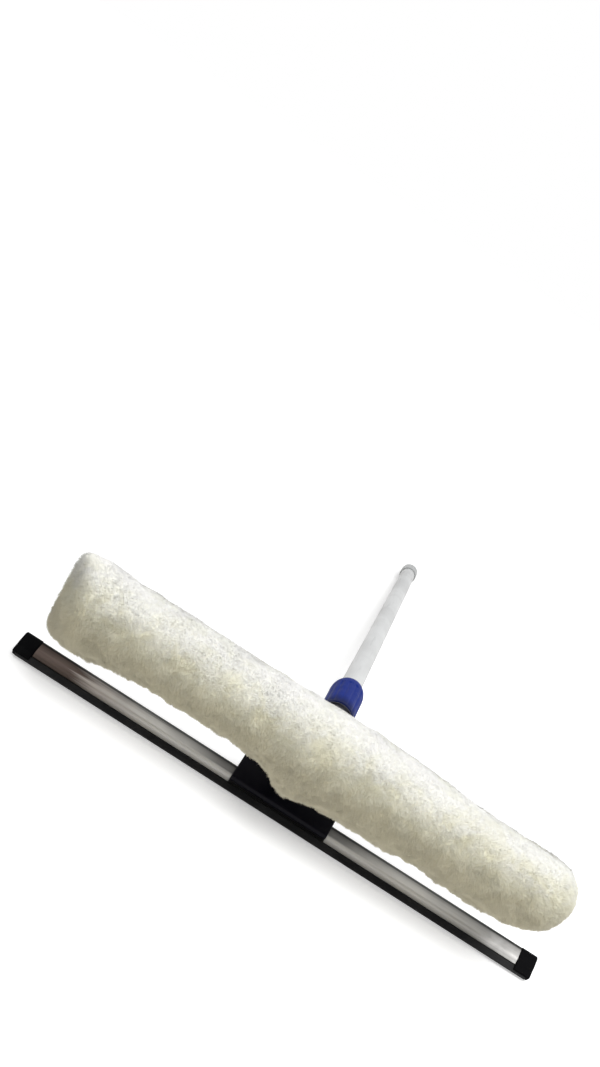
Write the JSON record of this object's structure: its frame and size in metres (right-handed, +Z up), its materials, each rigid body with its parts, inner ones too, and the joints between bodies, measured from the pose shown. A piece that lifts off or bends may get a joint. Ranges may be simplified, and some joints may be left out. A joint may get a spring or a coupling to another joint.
{
  "type": "window squeegee",
  "caption": "Window squeegee with a rubber blade in a metal channel under a fleece washer sleeve, on a moulded head with a lock nut and a round pole.",
  "frame": {"origin": "on the floor, under the middle of the box of the tool as it lies on its blade and its pole's end", "axes": "+X along the blade, +Y level from the head towards the pole's far end, +Z up. The pole's own axis points along +Y and a little down."},
  "size_m": [0.45, 0.776, 0.1125],
  "materials": {
    "channel_steel": "satin",
    "blade_rubber": "matte",
    "clip_plastic": "satin",
    "frame_plastic": "satin",
    "screw_steel": "plated",
    "insert_brass": "plain",
    "bar_plastic": "matte",
    "fleece": "deep pile",
    "closure_tape": "woven",
    "collet_plastic": "satin",
    "nut_plastic": "gloss",
    "pole_paint": "semi-gloss",
    "collar_plastic": "satin",
    "eye_plastic": "satin"
  },
  "bodies": {
    "head": {"squeegee_channel": "channel_steel", "rubber_blade": "blade_rubber", "end_clip_left": "clip_plastic", "end_clip_right": "clip_plastic", "clamp_plate": "clip_plastic", "clamp_screw_left": "screw_steel", "clamp_screw_right": "screw_steel", "clamp_insert_left": "insert_brass", "clamp_insert_right": "insert_brass", "head_frame": "frame_plastic", "t_bar": "bar_plastic", "t_bar_plug_left": "bar_plastic", "t_bar_plug_right": "bar_plastic", "t_bar_screw_left": "screw_steel", "t_bar_screw_right": "screw_steel", "washer_sleeve": "fleece", "closure_hook_tape": "closure_tape", "closure_loop_tape": "closure_tape"},
    "lock": {"grip_collet": "collet_plastic"},
    "nut": {"lock_nut": "nut_plastic"},
    "pole": {"pole_tube": "pole_paint", "pole_front_plug": "eye_plastic", "pole_end_collar": "collar_plastic", "hanging_eye": "eye_plastic"}
  },
  "joints": [
    {"name": "lock_travel", "type": "slide", "parent": "head", "child": "lock", "axis": [0, 0.9956, -0.094], "range_m": [0, 0.0045]},
    {"name": "nut_turn", "type": "hinge", "parent": "lock", "child": "nut", "pos_m": [0, -0.28642, 0.07313], "axis": [0, 0.9956, -0.094], "range_deg": [0, 540]},
    {"name": "pole_slide", "type": "slide", "parent": "head", "child": "pole", "axis": [0, 0.9956, -0.094], "range_m": [0, 0.06]}
  ],
  "couplings": [
    {"joint": "lock_travel", "follows": "nut_turn", "m_per_rad": 0.00047746}
  ]
}
